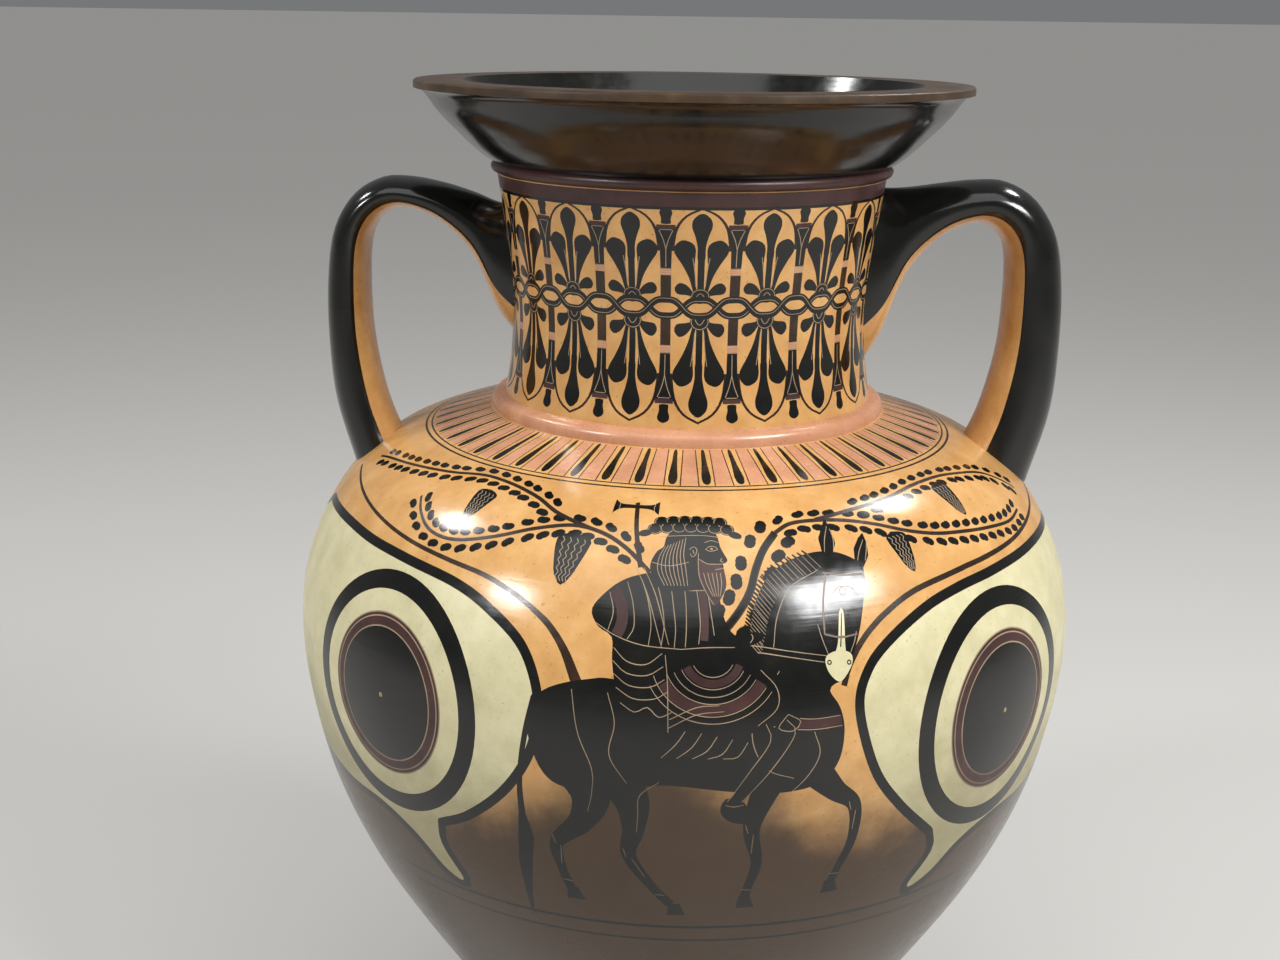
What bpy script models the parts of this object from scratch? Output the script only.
"""Neck amphora: a turned clay vessel with a lip, neck, body and foot, and two luted handles.

Metres, +Z up. The origin is the centre of the foot's underside, and the handles lie along X.
"""

import math

import bmesh
import bpy
from mathutils import Vector

# Overall and lip
HEIGHT = 0.412
LIP_RADIUS = 0.0956
LIP_DEPTH = 0.0272
LIP_FLAT = 0.0166
RIM_EDGE = 0.0026
COLLAR_HEIGHT = 0.0038
COLLAR_PROUD = 0.0022

# Neck
NECK_TOP_RADIUS = 0.0674
NECK_WAIST_RADIUS = 0.0622
NECK_BASE_RADIUS = 0.0650
NECK_HEIGHT = 0.0764
RING_HEIGHT = 0.0052
RING_PROUD = 0.0046

# Body
BODY_RADIUS = 0.1386
WIDEST_HEIGHT = 0.2235
STEM_RADIUS = 0.0422
STEM_HEIGHT = 0.0222

# Foot
FOOT_RADIUS = 0.0660
FOOT_HEIGHT = 0.0188
FOOT_EDGE = 0.0060
FOOT_RING_WIDTH = 0.0125
FOOT_FILLET = 0.0022
FOOT_RECESS = 0.0135

# Walls
WALL = 0.0056
FLOOR = 0.0095

# Handles
HANDLE_REACH = 0.1205
HANDLE_TOP = 0.3726
HANDLE_WIDTH = 0.0300
LEFT_HANDLE_THICKNESS = 0.0158
RIGHT_HANDLE_THICKNESS = 0.0218
NECK_ROOT_HEIGHT = 0.3452
SHOULDER_ROOT_RADIUS = 0.1110

# Facets
TURNED_STEPS = 56
HANDLE_SIDES = 18
HANDLE_RINGS = 18
LIP_ROWS = 6
NECK_ROWS = 7
BODY_ROWS = 19
CAVITY_NECK_ROWS = 5
CAVITY_BODY_ROWS = 13

# Heights that follow from the sizes above
COLLAR_TOP = HEIGHT - LIP_DEPTH
NECK_TOP = COLLAR_TOP - COLLAR_HEIGHT
NECK_BASE = NECK_TOP - NECK_HEIGHT
SHOULDER_TOP = NECK_BASE - RING_HEIGHT
RING_RADIUS = NECK_BASE_RADIUS + RING_PROUD

# Shares of a curve's rise and spread, in order down the vessel
LIP_CURVE = (
    (0.11, 0.04), (0.19, 0.15), (0.28, 0.29), (0.42, 0.46), (0.56, 0.61), (0.71, 0.77), (0.87, 0.915),
    (1.0, 1.0),
)
NECK_CURVE = ((0.0, 0.0), (0.42, 0.20), (0.86, 0.46), (1.0, 0.66))
SHOULDER_CURVE = (
    (0.0, 0.0), (0.275, 0.075), (0.52, 0.157), (0.728, 0.307), (0.874, 0.508), (0.968, 0.738), (1.0, 1.0),
)
LOWER_CURVE = (
    (0.0, 0.0), (0.021, 0.112), (0.091, 0.256), (0.218, 0.402), (0.394, 0.546),
    (0.604, 0.698), (0.822, 0.85), (0.966, 0.966), (1.0, 1.0),
)
# Handle stations: shares of the way out and down, the section's lean in degrees, and its thickness
HANDLE_LINE = (
    (0.0, 0.29, 90, 3.0), (0.13, 0.235, 90, 2.4), (0.27, 0.115, 88, 1.42), (0.445, 0.037, 85, 0.90),
    (0.62, 0.0, 82, 0.70), (0.76, 0.002, 68, 0.73), (0.886, 0.055, 47, 0.79), (0.969, 0.156, 22, 0.85),
    (1.0, 0.318, 9, 0.92), (0.997, 0.545, 5, 1.0), (0.947, 0.783, -4, 1.14), (0.838, 1.0, -28, 1.25),
)


def mix(start, end, share):
    return start + (end - start) * share


def smooth_run(stations, rows):
    """Points on a smooth curve through the stations, about evenly spread."""
    points = [Vector(station) for station in stations]
    knots = [0.0]
    for first, second in zip(points, points[1:]):
        knots.append(knots[-1] + math.sqrt((second - first).length))
    slopes = []
    for index in range(len(points)):
        low = max(index - 1, 0)
        high = min(index + 1, len(points) - 1)
        slopes.append((points[high] - points[low]) / (knots[high] - knots[low]))
    dense = []
    for index in range(len(points) - 1):
        gap = knots[index + 1] - knots[index]
        for step in range(16):
            t = step / 16
            dense.append(
                points[index] * (2 * t**3 - 3 * t**2 + 1)
                + slopes[index] * gap * (t**3 - 2 * t**2 + t)
                + points[index + 1] * (3 * t**2 - 2 * t**3)
                + slopes[index + 1] * gap * (t**3 - t**2)
            )
    dense.append(points[-1])
    lengths = [0.0]
    for first, second in zip(dense, dense[1:]):
        lengths.append(lengths[-1] + (second - first).length)
    run = []
    for row in range(rows + 1):
        wanted = lengths[-1] * row / rows
        place = next(index for index in range(1, len(dense)) if lengths[index] >= wanted - 1e-9)
        share = (wanted - lengths[place - 1]) / (lengths[place] - lengths[place - 1])
        run.append(dense[place - 1].lerp(dense[place], share))
    return run


def lip_run():
    """The flat rim's edge, and under it the curved side of the lip."""
    collar = NECK_TOP_RADIUS + COLLAR_PROUD / 2
    edge = [
        Vector((LIP_RADIUS, HEIGHT)),
        Vector((LIP_RADIUS, HEIGHT - RIM_EDGE)),
    ]
    curve = [
        (mix(LIP_RADIUS, collar, out), mix(HEIGHT - RIM_EDGE, COLLAR_TOP, down)) for out, down in LIP_CURVE
    ]
    return edge + smooth_run(curve, LIP_ROWS)


def collar_run():
    """The fillet between the lip and the neck."""
    return [
        Vector((NECK_TOP_RADIUS + COLLAR_PROUD, mix(COLLAR_TOP, NECK_TOP, 0.3))),
        Vector((NECK_TOP_RADIUS + COLLAR_PROUD * 0.8, mix(COLLAR_TOP, NECK_TOP, 0.75))),
    ]


def neck_run(rows):
    stations = [
        (mix(NECK_TOP_RADIUS, NECK_WAIST_RADIUS, inward), mix(NECK_TOP, NECK_BASE, down))
        for inward, down in NECK_CURVE
    ]
    stations.append((mix(NECK_WAIST_RADIUS, NECK_BASE_RADIUS, 0.35), mix(NECK_TOP, NECK_BASE, 0.86)))
    stations.append((NECK_BASE_RADIUS, NECK_BASE))
    return smooth_run(stations, rows)


def ring_run():
    """The raised ring where the neck meets the shoulder."""
    return [
        Vector((mix(NECK_BASE_RADIUS, RING_RADIUS, 0.75), mix(NECK_BASE, SHOULDER_TOP, 0.18))),
        Vector((RING_RADIUS, mix(NECK_BASE, SHOULDER_TOP, 0.55))),
    ]


def shoulder_stations():
    return [
        (mix(RING_RADIUS, BODY_RADIUS, out), mix(SHOULDER_TOP, WIDEST_HEIGHT, down))
        for out, down in SHOULDER_CURVE
    ]


def lower_stations():
    return [
        (mix(BODY_RADIUS, STEM_RADIUS, inward), mix(WIDEST_HEIGHT, STEM_HEIGHT, down))
        for inward, down in LOWER_CURVE
    ]


def body_run(rows):
    return smooth_run(shoulder_stations() + lower_stations()[1:], rows)


def foot_run():
    """The fillet above the foot, its curved side, the ring it stands on and the hollow under it."""
    fillet = STEM_RADIUS + FOOT_FILLET
    run = [
        Vector((fillet, mix(STEM_HEIGHT, FOOT_HEIGHT, 0.3))),
        Vector((fillet, FOOT_HEIGHT)),
    ]
    for step in range(1, 5):
        angle = math.radians(90 * step / 4)
        run.append(
            Vector((
                mix(fillet, FOOT_RADIUS, math.sin(angle)),
                mix(FOOT_EDGE, FOOT_HEIGHT, math.cos(angle)),
            ))
        )
    run.append(Vector((FOOT_RADIUS, 0.0)))
    ring_inside = FOOT_RADIUS - FOOT_RING_WIDTH
    run.append(Vector((ring_inside, 0.0)))
    run.append(Vector((ring_inside * 0.86, FOOT_RECESS * 0.5)))
    run.append(Vector((ring_inside * 0.5, FOOT_RECESS * 0.94)))
    run.append(Vector((0.0, FOOT_RECESS)))
    return run


def outer_profile():
    above_shoulder = [Vector((0.0, HEIGHT))] + lip_run() + collar_run() + neck_run(NECK_ROWS)
    return above_shoulder + ring_run() + body_run(BODY_ROWS) + foot_run()


def inset(run, depth):
    """The run moved inwards, square to itself."""
    moved = []
    for index, point in enumerate(run):
        before = run[max(index - 1, 0)]
        after = run[min(index + 1, len(run) - 1)]
        along = (after - before).normalized()
        moved.append(Vector((point.x + along.y * depth, point.y - along.x * depth)))
    return moved


def cavity_profile():
    """The hollow: the mouth, the neck's bore and the belly down to the floor."""
    mouth = LIP_RADIUS - LIP_FLAT
    bore = NECK_TOP_RADIUS - WALL
    above = HEIGHT + LIP_DEPTH
    throat = smooth_run(
        [
            (mouth, HEIGHT),
            (mix(mouth, bore, 0.30), mix(HEIGHT, COLLAR_TOP, 0.36)),
            (mix(mouth, bore, 0.75), mix(HEIGHT, COLLAR_TOP, 0.80)),
            (bore, NECK_TOP),
        ],
        4,
    )
    neck = inset(neck_run(CAVITY_NECK_ROWS)[1:-1], WALL)
    floor = FOOT_RECESS + FLOOR
    belly = [
        point for point in inset(body_run(CAVITY_BODY_ROWS), WALL)
        if point.y > floor + FLOOR and (point.x > neck[-1].x or point.y < WIDEST_HEIGHT)
    ]
    bottom = belly[-1]
    bowl = [
        Vector((bottom.x * 0.62, mix(bottom.y, floor, 0.72))),
        Vector((bottom.x * 0.34, mix(bottom.y, floor, 0.94))),
        Vector((0.0, floor)),
    ]
    return [Vector((0.0, above)), Vector((mouth, above))] + throat + neck + belly + bowl


def turned(name, profile, collection):
    """A solid of revolution from a profile that runs down its outer side."""
    mesh = bpy.data.meshes.new(name)
    points = [(point.x, 0.0, point.y) for point in profile]
    edges = [(index, index + 1) for index in range(len(points) - 1)]
    mesh.from_pydata(points, edges, [])
    solid = bpy.data.objects.new(name, mesh)
    collection.objects.link(solid)
    screw = solid.modifiers.new("turn", "SCREW")
    screw.axis = "Z"
    screw.angle = math.tau
    screw.steps = TURNED_STEPS
    screw.render_steps = TURNED_STEPS
    screw.use_merge_vertices = True
    screw.merge_threshold = 0.00001
    screw.use_smooth_shade = True
    return solid


def shoulder_height(radius):
    """Height of the shoulder's surface at a radius."""
    run = smooth_run(shoulder_stations(), 24)
    for first, second in zip(run, run[1:]):
        if first.x <= radius <= second.x:
            return mix(first.y, second.y, (radius - first.x) / (second.x - first.x))
    return WIDEST_HEIGHT


def handle_stations(thickness):
    """Centre points in the handle's plane, each with the arm from it to the section's outer edge."""
    start = NECK_WAIST_RADIUS - WALL / 2
    root = Vector((SHOULDER_ROOT_RADIUS, shoulder_height(SHOULDER_ROOT_RADIUS) - WALL * 0.7))
    stations = []
    for out, down, lean, share in HANDLE_LINE:
        centre = Vector((mix(start, HANDLE_REACH, out), mix(HANDLE_TOP, root.y, down)))
        angle = math.radians(lean)
        arm = Vector((math.cos(angle), math.sin(angle))) * thickness * share / 2
        stations.append((centre, arm))
    stations[0] = (Vector((start, NECK_ROOT_HEIGHT)), stations[0][1])
    stations[-1] = (root, stations[-1][1])
    return [(centre.x, centre.y, arm.x, arm.y) for centre, arm in stations]


def handle(name, side, thickness, collection):
    """An oval strap lofted from the neck to the shoulder; side is -1 for the left one."""
    run = smooth_run(handle_stations(thickness), HANDLE_RINGS)
    forming = bmesh.new()
    rings = []
    for x, z, arm_x, arm_z in run:
        ring = []
        for step in range(HANDLE_SIDES):
            turn = math.tau * step / HANDLE_SIDES
            ring.append(forming.verts.new((
                side * (x + arm_x * math.cos(turn)),
                math.sin(turn) * HANDLE_WIDTH / 2,
                z + arm_z * math.cos(turn),
            )))
        rings.append(ring)
    for first, second in zip(rings, rings[1:]):
        for step in range(HANDLE_SIDES):
            following = (step + 1) % HANDLE_SIDES
            forming.faces.new((first[step], first[following], second[following], second[step]))
    forming.faces.new(rings[0])
    forming.faces.new(rings[-1])
    bmesh.ops.recalc_face_normals(forming, faces=forming.faces)
    mesh = bpy.data.meshes.new(name)
    forming.to_mesh(mesh)
    forming.free()
    mesh.shade_smooth()
    solid = bpy.data.objects.new(name, mesh)
    collection.objects.link(solid)
    return solid


def as_tool(solid):
    solid.hide_render = True
    solid.display_type = "WIRE"
    return solid


def join(solid, tool, operation):
    change = solid.modifiers.new(tool.name, "BOOLEAN")
    change.operation = operation
    change.solver = "EXACT"
    change.object = tool


def fired_clay():
    material = bpy.data.materials.new("fired_clay")
    material.use_nodes = True
    shader = material.node_tree.nodes["Principled BSDF"]
    shader.inputs["Base Color"].default_value = (0.46, 0.17, 0.055, 1.0)
    shader.inputs["Roughness"].default_value = 0.32
    shader.inputs["Metallic"].default_value = 0.0
    material.diffuse_color = (0.46, 0.17, 0.055, 1.0)
    return material


def collection_named(name):
    collection = bpy.data.collections.new(name)
    bpy.context.scene.collection.children.link(collection)
    return collection


def main():
    for item in list(bpy.data.objects):
        bpy.data.objects.remove(item, do_unlink=True)
    vessel = collection_named("neck_amphora")
    tools = collection_named("cutters")
    amphora = turned("neck_amphora", outer_profile(), vessel)
    amphora.data.materials.append(fired_clay())
    join(amphora, as_tool(handle("left_handle_form", -1, LEFT_HANDLE_THICKNESS, tools)), "UNION")
    join(amphora, as_tool(handle("right_handle_form", 1, RIGHT_HANDLE_THICKNESS, tools)), "UNION")
    join(amphora, as_tool(turned("cavity", cavity_profile(), tools)), "DIFFERENCE")


main()
